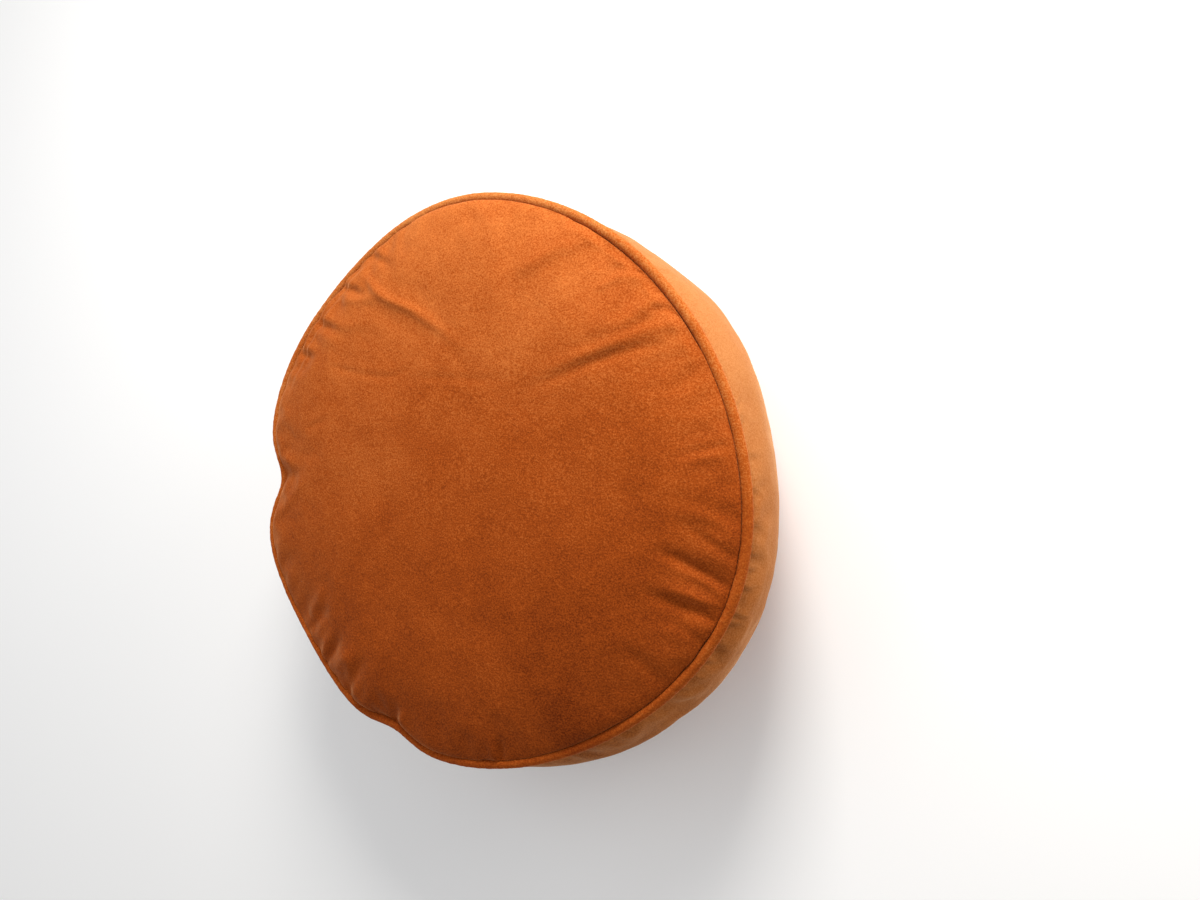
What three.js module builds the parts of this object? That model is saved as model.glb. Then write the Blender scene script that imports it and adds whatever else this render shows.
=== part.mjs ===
// Round box pouf of velvet: a domed top panel, a deep side band and an underside panel, joined
// by a corded piping at each rim. Millimetres, +Z up, lying on its back on z = 0.
import * as THREE from "three";

// Driving sizes, in mm
const OVERALL_DIAMETER = 500;
const PIPING_DIAMETER = 9;
const FOOT_SEAM_HEIGHT = 13;
const BAND_HEIGHT = 140;
const CROWN_HEIGHT = 32;
const FOOT_DRAW_IN = 24;
const REST_RADIUS = 168;
const BAND_SWELL = 17;
const FLANGE_LENGTH = 11;
const FLANGE_THICKNESS = 1.4;
const PIECE_GAP = 0.3;

// How far above the seam a fold of the top panel comes to half its depth, in mm
const SEAM_HOLD = 6;

// Steps round the pouf and round a cord
const SEGMENTS = 72;
const CORD_SIDES = 8;

// Sizes that follow from the driving ones
const PIPING_RADIUS = PIPING_DIAMETER / 2;
const TOP_CORD_RADIUS = OVERALL_DIAMETER / 2 - PIPING_RADIUS;
const FOOT_CORD_RADIUS = TOP_CORD_RADIUS - FOOT_DRAW_IN;
const TOP_SEAM_HEIGHT = FOOT_SEAM_HEIGHT + BAND_HEIGHT;
const CORD_CLEARANCE = PIPING_RADIUS + PIECE_GAP;

// Shares of the width or height at which each outer surface gets a ring of points
const CROWN_SHARES = [0.992, 0.97, 0.93, 0.87, 0.79, 0.69, 0.56, 0.4, 0.21, 0];
const BAND_SHARES = [0.05, 0.14, 0.3, 0.48, 0.65, 0.8, 0.9, 0.965];
const ROLL_SHARES = [0.22, 0.45, 0.7, 0.93];
const HIDDEN_SHARES = [0, 0.75, 1];

// Powers that shape the three outer surfaces: a dome plump at its rim, a band fullest above
// its middle, and an underside that lifts slowly off the floor.
const CROWN_FLATNESS = 2.4;
const CROWN_PLUMPNESS = 0.52;
const BAND_SWELL_RISE = 1.3;
const ROLL_LIFT = 2.2;

// Where cloth leaves a cord, in degrees round the cord from straight out
const CORD_BACK = 166;
const PANEL_LEAVES = 112;
const BAND_LEAVES = 104;

// Where the strays of a seam take hold, going out from the middle
const STRAY_POWER = 3;
const LIFT_START = 0.55 * TOP_CORD_RADIUS;
const AXIS_RADIUS = 1e-6;

// Velvet colours
const PANEL_COLOUR = 0xb8581f;
const BAND_COLOUR = 0xc8783c;
const PIPING_COLOUR = 0xa84a18;
const VELVET_ROUGHNESS = 0.9;

// How the upper seam strays from a circle. angle and spread are in degrees, reach is in mm,
// outwards where positive. Narrow rows are tucks, wide ones slack or full stretches.
const TOP_RIM = [
  { angle: -22, spread: 17, reach: 11.5 },
  { angle: 40, spread: 22, reach: -9 },
  { angle: 98, spread: 14, reach: 5.5 },
  { angle: 152, spread: 12, reach: 5 },
  { angle: 179.5, spread: 5.5, reach: -21 },
  { angle: -164, spread: 9, reach: 3.5 },
  { angle: -140, spread: 12, reach: -4 },
  { angle: -110, spread: 5, reach: -9.5 },
  { angle: -68, spread: 14, reach: -2 },
];

// The same for the lower seam.
const FOOT_RIM = [
  { angle: -35, spread: 24, reach: 5 },
  { angle: 30, spread: 15, reach: -4 },
  { angle: 75, spread: 12, reach: 3 },
  { angle: 118, spread: 9, reach: -5 },
  { angle: 165, spread: 14, reach: 4 },
  { angle: -150, spread: 8, reach: -5 },
  { angle: -100, spread: 16, reach: 3 },
];

// How far the upper seam rides above its plane, in mm.
const TOP_LIFT = [
  { angle: 10, spread: 20, reach: 2 },
  { angle: 50, spread: 16, reach: -2 },
  { angle: 95, spread: 18, reach: 2 },
  { angle: 138, spread: 15, reach: -2 },
  { angle: 178, spread: 14, reach: 2.5 },
  { angle: -148, spread: 14, reach: -2 },
  { angle: -110, spread: 14, reach: 2.5 },
  { angle: -60, spread: 22, reach: -2 },
];

// How the swell of the band varies round the pouf, in mm.
const BAND_FULLNESS = [
  { angle: -56, spread: 25, reach: 11 },
  { angle: 28, spread: 12, reach: 7 },
  { angle: 98, spread: 28, reach: -10 },
  { angle: 179.5, spread: 9, reach: -8 },
  { angle: -145, spread: 16, reach: 3 },
];

// Main soft troughs of the top panel, in mm: each runs straight from (x1, y1) to (x2, y2),
// fades out halfWidth to either side, and sinks by depth, or rises where depth is negative.
const FACE_FOLDS = [
  { x1: 128, y1: 210, x2: 50, y2: 178, halfWidth: 13, depth: 4 },
  { x1: 172, y1: 96, x2: 40, y2: 72, halfWidth: 14, depth: 4 },
  { x1: 176, y1: 122, x2: 30, y2: 98, halfWidth: 16, depth: -2.5 },
  { x1: -112, y1: 196, x2: -25, y2: 132, halfWidth: 15, depth: -3 },
  { x1: -130, y1: 178, x2: -48, y2: 112, halfWidth: 15, depth: 3.5 },
  { x1: 246, y1: -92, x2: 188, y2: -70, halfWidth: 12, depth: 4.5 },
  { x1: 232, y1: -122, x2: 186, y2: -98, halfWidth: 11, depth: 4 },
  { x1: -184, y1: -156, x2: -146, y2: -126, halfWidth: 13, depth: 4.5 },
  { x1: -126, y1: -206, x2: -98, y2: -166, halfWidth: 13, depth: 4 },
  { x1: -232, y1: 2, x2: -176, y2: 6, halfWidth: 15, depth: 5 },
];

// Shortest turn from one angle to another, in degrees.
function turnBetween(from, to) {
  return THREE.MathUtils.euclideanModulo(to - from + 180, 360) - 180;
}

// Sum of a table's rows at an angle, each a bell that fades out on both sides.
function strayAt(table, angle) {
  return table.reduce((sum, row) => {
    const turns = turnBetween(row.angle, angle) / row.spread;
    return sum + row.reach * Math.exp(-0.5 * turns * turns);
  }, 0);
}

// Angle of a point round the pouf's axis, in degrees.
function angleOf(point) {
  return THREE.MathUtils.radToDeg(Math.atan2(point.y, point.x));
}

// How far the folds of the top panel sink it at a place.
function foldSinkAt(x, y) {
  return FACE_FOLDS.reduce((sum, fold) => {
    const run = new THREE.Vector2(fold.x2 - fold.x1, fold.y2 - fold.y1);
    const length = run.length();
    run.divideScalar(length);
    const along = (x - fold.x1) * run.x + (y - fold.y1) * run.y;
    const across = (y - fold.y1) * run.x - (x - fold.x1) * run.y;
    const past = Math.max(-along, along - length, 0);
    const away = Math.hypot(across, past) / fold.halfWidth;
    return sum + fold.depth * Math.exp(-2 * away * away);
  }, 0);
}

// Moves a point of the true round form to where the soft pouf has it.
function settle(point) {
  const radius = Math.hypot(point.x, point.y);
  if (radius < AXIS_RADIUS) {
    return;
  }
  const angle = angleOf(point);
  const rise = THREE.MathUtils.smoothstep(point.z, FOOT_SEAM_HEIGHT, TOP_SEAM_HEIGHT);
  const stray = THREE.MathUtils.lerp(strayAt(FOOT_RIM, angle), strayAt(TOP_RIM, angle), rise);
  const stretch = 1 + (stray * Math.pow(radius / TOP_CORD_RADIUS, STRAY_POWER)) / radius;
  const nearRim = THREE.MathUtils.smoothstep(radius, LIFT_START, TOP_CORD_RADIUS);
  point.x *= stretch;
  point.y *= stretch;
  point.z += strayAt(TOP_LIFT, angle) * rise * nearRim;
}

// Places round a cord at the clearance that cloth keeps from it, between two angles.
function roundCord(cordRadius, seamHeight, fromAngle, toAngle) {
  return [fromAngle, (fromAngle + toAngle) / 2, toAngle].map((degrees) => {
    const angle = THREE.MathUtils.degToRad(degrees);
    const x = cordRadius + CORD_CLEARANCE * Math.cos(angle);
    return new THREE.Vector2(x, seamHeight + CORD_CLEARANCE * Math.sin(angle));
  });
}

// Hidden face of a filled piece at a seam, from the axis outwards. It is flat, then steps
// back by its side (1 above the seam, -1 below it) to leave room for the piping's flange.
function seamFace(cordRadius, seamHeight, side) {
  const stepRadius = cordRadius - PIPING_RADIUS - FLANGE_LENGTH - PIECE_GAP;
  const inner = seamHeight + (side * PIECE_GAP) / 2;
  const outer = seamHeight + side * (FLANGE_THICKNESS / 2 + PIECE_GAP);
  return [
    ...HIDDEN_SHARES.map((share) => new THREE.Vector2(share * stepRadius, inner)),
    new THREE.Vector2(stepRadius, outer),
  ];
}

// Turns a profile round the axis, shapes and settles it, and gives it its name and velvet.
function turnedPiece(name, profile, colour, shape) {
  const geometry = new THREE.LatheGeometry(profile, SEGMENTS);
  geometry.rotateX(Math.PI / 2);
  const places = geometry.getAttribute("position");
  const point = new THREE.Vector3();
  for (let index = 0; index < places.count; index += 1) {
    point.fromBufferAttribute(places, index);
    if (shape) {
      shape(point, index % profile.length);
    }
    settle(point);
    places.setXYZ(index, point.x, point.y, point.z);
  }
  geometry.computeVertexNormals();
  const velvet = new THREE.MeshStandardMaterial({
    color: colour,
    roughness: VELVET_ROUGHNESS,
    metalness: 0,
  });
  const mesh = new THREE.Mesh(geometry, velvet);
  mesh.name = name;
  return mesh;
}

// Domed top panel with the filling under it.
function topPanel() {
  const under = seamFace(TOP_CORD_RADIUS, TOP_SEAM_HEIGHT, 1);
  const hug = roundCord(TOP_CORD_RADIUS, TOP_SEAM_HEIGHT, CORD_BACK, PANEL_LEAVES);
  const edge = hug.at(-1);
  const crownRise = TOP_SEAM_HEIGHT + CROWN_HEIGHT - edge.y;
  const crown = CROWN_SHARES.map((share) => {
    const dome = Math.pow(1 - Math.pow(share, CROWN_FLATNESS), CROWN_PLUMPNESS);
    return new THREE.Vector2(share * edge.x, edge.y + crownRise * dome);
  });
  const crownStart = under.length + hug.length;
  const profile = [...under, ...hug, ...crown];
  return turnedPiece("top_panel", profile, PANEL_COLOUR, (point, row) => {
    if (row >= crownStart) {
      const aboveSeam = point.z - edge.y;
      const give = aboveSeam / (aboveSeam + SEAM_HOLD);
      point.z -= give * foldSinkAt(point.x, point.y);
    }
  });
}

// Side band with the filling inside it, fullest above its middle and drawn in to the lower seam.
function sideBand() {
  const lower = seamFace(FOOT_CORD_RADIUS, FOOT_SEAM_HEIGHT, 1);
  const lowerHug = roundCord(FOOT_CORD_RADIUS, FOOT_SEAM_HEIGHT, CORD_BACK, BAND_LEAVES);
  const upperHug = roundCord(TOP_CORD_RADIUS, TOP_SEAM_HEIGHT, -BAND_LEAVES, -CORD_BACK);
  const upper = seamFace(TOP_CORD_RADIUS, TOP_SEAM_HEIGHT, -1).reverse();
  const start = lowerHug.at(-1);
  const side = BAND_SHARES.map((share) => start.clone().lerp(upperHug[0], share));
  const sideStart = lower.length + lowerHug.length;
  const profile = [...lower, ...lowerHug, ...side, ...upperHug, ...upper];
  return turnedPiece("side_band", profile, BAND_COLOUR, (point, row) => {
    const share = BAND_SHARES[row - sideStart];
    if (share !== undefined) {
      const fullness = BAND_SWELL + strayAt(BAND_FULLNESS, angleOf(point));
      const swell = fullness * Math.sin(Math.PI * Math.pow(share, BAND_SWELL_RISE));
      const stretch = 1 + swell / Math.hypot(point.x, point.y);
      point.x *= stretch;
      point.y *= stretch;
    }
  });
}

// Underside panel with the filling over it, pressed flat on the floor inside the rest radius.
function bottomPanel() {
  const hug = roundCord(FOOT_CORD_RADIUS, FOOT_SEAM_HEIGHT, -PANEL_LEAVES, -CORD_BACK);
  const floor = [new THREE.Vector2(0, 0), new THREE.Vector2(REST_RADIUS, 0)];
  const roll = ROLL_SHARES.map((share) => {
    const radius = THREE.MathUtils.lerp(REST_RADIUS, hug[0].x, share);
    return new THREE.Vector2(radius, hug[0].y * Math.pow(share, ROLL_LIFT));
  });
  const above = seamFace(FOOT_CORD_RADIUS, FOOT_SEAM_HEIGHT, -1).reverse();
  return turnedPiece("bottom_panel", [...floor, ...roll, ...hug, ...above], PANEL_COLOUR);
}

// Corded piping of one rim: the cord in its velvet strip, whose two edges lie together as a
// flange inside the seam.
function piping(name, cordRadius, seamHeight) {
  const flangeInner = cordRadius - PIPING_RADIUS - FLANGE_LENGTH;
  const halfFlange = FLANGE_THICKNESS / 2;
  const halfTurn = Math.PI - Math.asin(halfFlange / PIPING_RADIUS);
  const round = Array.from({ length: CORD_SIDES + 1 }, (_, side) => {
    const angle = halfTurn * ((2 * side) / CORD_SIDES - 1);
    const x = cordRadius + PIPING_RADIUS * Math.cos(angle);
    return new THREE.Vector2(x, seamHeight + PIPING_RADIUS * Math.sin(angle));
  });
  const lowerEdge = new THREE.Vector2(flangeInner, seamHeight - halfFlange);
  const upperEdge = new THREE.Vector2(flangeInner, seamHeight + halfFlange);
  return turnedPiece(name, [lowerEdge, ...round, upperEdge, lowerEdge], PIPING_COLOUR);
}

const pouf = new THREE.Group();
pouf.add(topPanel());
pouf.add(piping("piping_top", TOP_CORD_RADIUS, TOP_SEAM_HEIGHT));
pouf.add(sideBand());
pouf.add(piping("piping_bottom", FOOT_CORD_RADIUS, FOOT_SEAM_HEIGHT));
pouf.add(bottomPanel());

export default pouf;
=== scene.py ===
import bpy
import numpy as np
from mathutils import Matrix, Vector, noise


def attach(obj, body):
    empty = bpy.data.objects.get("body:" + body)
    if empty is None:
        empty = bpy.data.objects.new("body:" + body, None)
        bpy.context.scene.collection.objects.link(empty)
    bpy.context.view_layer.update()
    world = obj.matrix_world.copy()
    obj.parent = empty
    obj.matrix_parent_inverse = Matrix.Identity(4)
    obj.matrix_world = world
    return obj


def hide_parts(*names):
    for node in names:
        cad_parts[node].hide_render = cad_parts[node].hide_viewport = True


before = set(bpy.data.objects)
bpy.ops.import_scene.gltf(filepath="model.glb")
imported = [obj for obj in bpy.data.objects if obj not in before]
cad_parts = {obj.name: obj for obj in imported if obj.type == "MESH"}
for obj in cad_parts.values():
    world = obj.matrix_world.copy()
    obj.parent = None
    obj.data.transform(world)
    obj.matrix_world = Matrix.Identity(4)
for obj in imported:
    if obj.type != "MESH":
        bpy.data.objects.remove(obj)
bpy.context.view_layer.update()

# Driving sizes. The slack crown is the top panel's height over its seam before it is filled.
OVERALL_DIAMETER = 0.5
PIPING_DIAMETER = 0.009
FOOT_SEAM_HEIGHT = 0.013
BAND_HEIGHT = 0.14
SLACK_CROWN_HEIGHT = 0.029
FOOT_DRAW_IN = 0.024
REST_RADIUS = 0.168
BAND_SWELL = 0.017
PIECE_GAP = 0.0003
FLANGE_LENGTH = 0.011
FLANGE_THICKNESS = 0.0014

# Sizes that follow from them
CORD_RADIUS = PIPING_DIAMETER / 2
TOP_CORD_RADIUS = OVERALL_DIAMETER / 2 - CORD_RADIUS
FOOT_CORD_RADIUS = TOP_CORD_RADIUS - FOOT_DRAW_IN
TOP_SEAM_HEIGHT = FOOT_SEAM_HEIGHT + BAND_HEIGHT
CORD_CLEARANCE = CORD_RADIUS + PIECE_GAP
STEP_IN = CORD_RADIUS + FLANGE_LENGTH + PIECE_GAP

# Where cloth leaves a cord, in degrees round the cord from straight out, and in how many rings
CORD_BACK = 166
PANEL_LEAVES = 112
BAND_LEAVES = 104
CORD_RINGS = 4

# Powers that shape the outer surfaces
CROWN_FLATNESS = 2.4
CROWN_PLUMPNESS = 0.52
BAND_SWELL_RISE = 1.3
ROLL_LIFT = 2.2
STRAY_POWER = 3

# The top panel follows the seam's rise and fall from this radius outwards
LIFT_START = 0.55 * TOP_CORD_RADIUS

# Cells of the cloth round the rim; each cell is about as long as it is wide. Towards the
# middle of a panel the cells of a ring are halved, first inside a share of the rim's radius.
# The band's swell makes it longer than it is high.
RIM_CELLS = 384
FEWEST_CELLS = RIM_CELLS // 16
HALVING_SHARE = 0.62
MIDDLE_RADIUS = 0.007
BAND_LENGTHENING = 1.1
PIPING_CELLS = 1200

# How the upper seam strays from a circle: angle and spread in degrees, reach in metres,
# outwards where positive.
TOP_RIM = [
    dict(angle=-22, spread=17, reach=0.0115),
    dict(angle=40, spread=22, reach=-0.009),
    dict(angle=98, spread=14, reach=0.0055),
    dict(angle=152, spread=12, reach=0.005),
    dict(angle=179.5, spread=5.5, reach=-0.021),
    dict(angle=-164, spread=9, reach=0.0035),
    dict(angle=-140, spread=12, reach=-0.004),
    dict(angle=-110, spread=5, reach=-0.0095),
    dict(angle=-68, spread=14, reach=-0.002),
]

# The same for the lower seam
FOOT_RIM = [
    dict(angle=-35, spread=24, reach=0.005),
    dict(angle=30, spread=15, reach=-0.004),
    dict(angle=75, spread=12, reach=0.003),
    dict(angle=118, spread=9, reach=-0.005),
    dict(angle=165, spread=14, reach=0.004),
    dict(angle=-150, spread=8, reach=-0.005),
    dict(angle=-100, spread=16, reach=0.003),
]

# How far the upper seam rides above its plane
TOP_LIFT = [
    dict(angle=10, spread=20, reach=0.002),
    dict(angle=50, spread=16, reach=-0.002),
    dict(angle=95, spread=18, reach=0.002),
    dict(angle=138, spread=15, reach=-0.002),
    dict(angle=178, spread=14, reach=0.0025),
    dict(angle=-148, spread=14, reach=-0.002),
    dict(angle=-110, spread=14, reach=0.0025),
    dict(angle=-60, spread=22, reach=-0.002),
]

# How the swell of the band varies round the pouf
BAND_FULLNESS = [
    dict(angle=-56, spread=25, reach=0.011),
    dict(angle=28, spread=12, reach=0.007),
    dict(angle=98, spread=28, reach=-0.010),
    dict(angle=179.5, spread=9, reach=-0.008),
    dict(angle=-145, spread=16, reach=0.003),
]

# Share of extra cloth that is eased into each seam round the pouf, over an even share
EVEN_EASE = 0.002
TOP_PANEL_EASE = [
    dict(angle=5, spread=2.5, reach=0.008),
    dict(angle=-12, spread=2.5, reach=0.02),
    dict(angle=-22, spread=5, reach=0.026),
    dict(angle=-38, spread=4, reach=0.016),
    dict(angle=-84, spread=2.5, reach=0.03),
    dict(angle=-111, spread=3, reach=0.03),
    dict(angle=-120, spread=3, reach=0.03),
    dict(angle=-130, spread=3.5, reach=0.035),
    dict(angle=-141, spread=3.5, reach=0.035),
    dict(angle=-160, spread=6, reach=0.012),
    dict(angle=180, spread=5, reach=0.03),
    dict(angle=160, spread=8, reach=0.012),
    dict(angle=138, spread=9, reach=0.045),
    dict(angle=112, spread=6, reach=0.016),
    dict(angle=60, spread=5, reach=0.022),
    dict(angle=45, spread=3, reach=0.035),
    dict(angle=36, spread=3, reach=0.035),
    dict(angle=22, spread=4, reach=0.014),
]
TOP_BAND_EASE = [
    dict(angle=-12, spread=5, reach=0.03),
    dict(angle=-35, spread=12, reach=0.06),
    dict(angle=-62, spread=7, reach=0.03),
    dict(angle=-112, spread=6, reach=0.05),
    dict(angle=-140, spread=10, reach=0.04),
    dict(angle=178, spread=6, reach=0.05),
    dict(angle=150, spread=8, reach=0.03),
    dict(angle=118, spread=7, reach=0.04),
    dict(angle=80, spread=12, reach=0.03),
    dict(angle=45, spread=6, reach=0.02),
]
FOOT_EASE = [
    dict(angle=0, spread=8, reach=0.03),
    dict(angle=30, spread=10, reach=0.04),
    dict(angle=75, spread=9, reach=0.03),
    dict(angle=120, spread=12, reach=0.045),
    dict(angle=165, spread=8, reach=0.03),
    dict(angle=-150, spread=10, reach=0.045),
    dict(angle=-112, spread=8, reach=0.03),
    dict(angle=-75, spread=10, reach=0.045),
    dict(angle=-38, spread=7, reach=0.035),
]

# How far the eased cloth reaches in from the rim of the top panel, over an even reach
EVEN_REACH = 0.034
EASE_REACH = [
    dict(angle=-24, spread=12, reach=0.034),
    dict(angle=-84, spread=5, reach=-0.01),
    dict(angle=-130, spread=14, reach=0.016),
    dict(angle=180, spread=7, reach=0.02),
    dict(angle=138, spread=10, reach=0.006),
    dict(angle=52, spread=14, reach=0.028),
]

# From where to where the hold of the panel's middle sets in, in shares of that reach
HOLD_ZONE = (0.6, 2.4)

# How far below the upper seam the band's ease ends and is full, and how far above the lower
# seam it is full and ends
TOP_EASE_ZONE = (0.035, 0.006)
FOOT_EASE_ZONE = (0.006, 0.04)

# How far inside its seam the underside's eased cloth is full
FOOT_EASE_EDGE = 0.01


def bells(table, angle):
    """Sum of a table's rows at each angle, every row a bell that fades out on both sides."""
    total = np.zeros_like(np.asarray(angle, float))
    for row in table:
        turn = (angle - row["angle"] + 180) % 360 - 180
        total = total + row["reach"] * np.exp(-0.5 * (turn / row["spread"]) ** 2)
    return total


def smooth(value, low, high):
    """0 below low, 1 above high, and a soft step between them."""
    share = np.clip((value - low) / (high - low), 0, 1)
    return share * share * (3 - 2 * share)


def settle(radius, height, angle):
    """Place on the soft pouf of a radius, a height and an angle on its true round form."""
    rise = smooth(height, FOOT_SEAM_HEIGHT, TOP_SEAM_HEIGHT)
    stray = bells(FOOT_RIM, angle) * (1 - rise) + bells(TOP_RIM, angle) * rise
    out = radius + stray * (radius / TOP_CORD_RADIUS) ** STRAY_POWER
    lift = bells(TOP_LIFT, angle) * rise * smooth(radius, LIFT_START, TOP_CORD_RADIUS)
    turn = np.radians(angle)
    return np.stack([out * np.cos(turn), out * np.sin(turn), height + lift], axis=-1)


def ring_angles(cells):
    """Angles of the corners of that many equal cells."""
    return np.arange(cells) * 360 / cells


def ring(cells, radius, height):
    """One ring of a cover, as places."""
    angle = ring_angles(cells)
    return settle(np.full(cells, radius), np.full(cells, height), angle)


def round_cord(cord_radius, seam_height, first, last, steps):
    """(radius, height) of places round a cord at the cloth's clearance, between two angles."""
    angles = np.radians(np.linspace(first, last, steps))
    radii = cord_radius + CORD_CLEARANCE * np.cos(angles)
    heights = seam_height + CORD_CLEARANCE * np.sin(angles)
    return list(zip(radii, heights))


def cells_at(radius, rim_radius):
    """How many cells a ring of a round panel has: half as many each time its radius halves."""
    cells = RIM_CELLS
    bound = HALVING_SHARE * rim_radius
    while radius < bound and cells > FEWEST_CELLS:
        cells //= 2
        bound /= 2
    return cells


def panel_radii(rim_radius):
    """Radii of a round panel's rings from near its middle to its rim, in square cells."""
    radii = [rim_radius]
    while radii[-1] > MIDDLE_RADIUS:
        width = 2 * np.pi * radii[-1] / cells_at(radii[-1], rim_radius)
        radii.append(radii[-1] - width)
    return radii[::-1]


def cover_object(name, rings, first=None, last=None):
    """Open cover through rings in order, each ring with as many corners as the next one, half
    or twice as many. first and last are single places that close its middle."""
    places = np.concatenate(([[first]] if first is not None else []) + rings
                            + ([[last]] if last is not None else []))
    starts = np.cumsum([0 if first is None else 1] + [len(r) for r in rings])
    faces = []
    if first is not None:
        count = len(rings[0])
        faces += [(0, 1 + k, 1 + (k + 1) % count) for k in range(count)]
    for index, (one, two) in enumerate(zip(rings, rings[1:])):
        a, b = starts[index], starts[index + 1]
        n, m = len(one), len(two)
        if n == m:
            faces += [(a + k, b + k, b + (k + 1) % n, a + (k + 1) % n) for k in range(n)]
        elif 2 * n == m:
            for k in range(n):
                after = (k + 1) % n
                faces.append((a + k, b + 2 * k, b + 2 * k + 1))
                faces.append((a + k, b + 2 * k + 1, a + after))
                faces.append((a + after, b + 2 * k + 1, b + (2 * k + 2) % m))
        else:
            for k in range(m):
                after = (k + 1) % m
                faces.append((b + k, a + 2 * k + 1, a + 2 * k))
                faces.append((b + k, b + after, a + 2 * k + 1))
                faces.append((b + after, a + (2 * k + 2) % n, a + 2 * k + 1))
    if last is not None:
        a, n = starts[-2], len(rings[-1])
        faces += [(len(places) - 1, a + (k + 1) % n, a + k) for k in range(n)]
    mesh = bpy.data.meshes.new(name)
    mesh.from_pydata(places.tolist(), [], [tuple(int(i) for i in f) for f in faces])
    cover = bpy.data.objects.new(name, mesh)
    bpy.context.scene.collection.objects.link(cover)
    return cover


def places_of(mesh):
    """A mesh's vertices as an array."""
    places = np.empty(len(mesh.vertices) * 3)
    mesh.vertices.foreach_get("co", places)
    return places.reshape(-1, 3)


def put_places(mesh, places):
    """Writes an array back as a mesh's vertices."""
    mesh.vertices.foreach_set("co", places.ravel())
    mesh.update()


def angles_of(places):
    """Angle of each place round the pouf's axis."""
    return np.degrees(np.arctan2(places[:, 1], places[:, 0]))


def bake(cover):
    """Replaces the cover's mesh by its evaluated one, and removes its modifiers."""
    graph = bpy.context.evaluated_depsgraph_get()
    graph.update()
    mesh = bpy.data.meshes.new_from_object(cover.evaluated_get(graph))
    cover.modifiers.clear()
    cover.vertex_groups.clear()
    cover.data = mesh


def weigh(cover, name, weights):
    """Vertex group of the given weights, in even steps."""
    group = cover.vertex_groups.new(name=name)
    levels = np.round(np.clip(weights, 0, 1) * WEIGHT_STEPS).astype(int)
    for level in np.unique(levels):
        group.add(np.flatnonzero(levels == level).tolist(), level / WEIGHT_STEPS, "REPLACE")


# How the filling presses the covers out: frames of the cloth run, pressure, the most that a
# place may move, and how firmly cloth far from the seams is held
FILL_FRAMES = 24
FILL_PRESSURE = 1.4
FILL_LIMIT = 0.016
MIDDLE_HOLD = 0.05

# The most extra cloth that a seam can take, how much more the band takes than the panels, and
# the steps of the weights that carry it
MOST_EASE = 0.12
BAND_EASE_SCALE = 1.7
WEIGHT_STEPS = 40

# The velvet as cloth
STIFFNESS = 18
BENDING = 1.0
CLOTH_MASS = 0.3
CLOTH_QUALITY = 6
AIR_DAMPING = 2

# Slight unevenness that the cloth starts from, and how it is softened after the filling
START_SIZE = 0.014
START_HEIGHT = 0.0005
SOFTENING = 0.5
SOFTENING_TIMES = 3


def fill(cover, held, ease, seed):
    """Lets the filling press the cover out. held is how firmly each place is kept where it is,
    up to 1 at the seams, and ease is its share of extra cloth."""
    before = places_of(cover.data)
    normals = np.empty(before.size)
    cover.data.vertex_normals.foreach_get("vector", normals)
    uneven = ripple(before, START_SIZE, START_HEIGHT, seed) * (1 - held)
    before = before + uneven[:, None] * normals.reshape(-1, 3)
    put_places(cover.data, before)
    weigh(cover, "held", held)
    weigh(cover, "firm", 1 - ease / MOST_EASE)
    cloth = cover.modifiers.new("cloth", "CLOTH")
    settings = cloth.settings
    settings.quality = CLOTH_QUALITY
    settings.mass = CLOTH_MASS
    settings.tension_stiffness = STIFFNESS
    settings.compression_stiffness = STIFFNESS
    settings.shear_stiffness = STIFFNESS / 2
    settings.bending_stiffness = BENDING
    settings.air_damping = AIR_DAMPING
    settings.vertex_group_mass = "held"
    settings.vertex_group_shrink = "firm"
    settings.shrink_max = 0
    settings.shrink_min = -MOST_EASE
    settings.use_pressure = True
    settings.uniform_pressure_force = FILL_PRESSURE
    settings.effector_weights.gravity = 0
    cloth.collision_settings.use_collision = False
    cloth.point_cache.frame_start = 1
    cloth.point_cache.frame_end = FILL_FRAMES
    soften = cover.modifiers.new("soften", "SMOOTH")
    soften.factor = SOFTENING
    soften.iterations = SOFTENING_TIMES
    soften.vertex_group = "held"
    soften.invert_vertex_group = True
    for step in range(1, FILL_FRAMES + 1):
        bpy.context.scene.frame_set(step)
    bake(cover)
    bpy.context.scene.frame_set(1)
    after = places_of(cover.data)
    moved = after - before
    length = np.linalg.norm(moved, axis=1, keepdims=True)
    moved *= np.minimum(1, FILL_LIMIT / np.maximum(length, 1e-9))
    put_places(cover.data, before + moved)


def clear_of_cord(places, cord_radius, seam_height):
    """Places pushed out of the space that the piping of a seam needs."""
    angle = angles_of(places)
    cord = settle(np.full(len(places), cord_radius), np.full(len(places), seam_height), angle)
    out = np.hypot(places[:, 0], places[:, 1]) - np.hypot(cord[:, 0], cord[:, 1])
    up = places[:, 2] - cord[:, 2]
    away = np.maximum(np.hypot(out, up), 1e-6)
    push = np.maximum(CORD_CLEARANCE / away, 1) - 1
    turn = np.radians(angle)
    places[:, 0] += push * out * np.cos(turn)
    places[:, 1] += push * out * np.sin(turn)
    places[:, 2] += push * up
    return places


def refine(cover):
    """One subdivision of the cover."""
    finer = cover.modifiers.new("finer", "SUBSURF")
    finer.levels = 1
    finer.render_levels = 1
    bake(cover)


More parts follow.
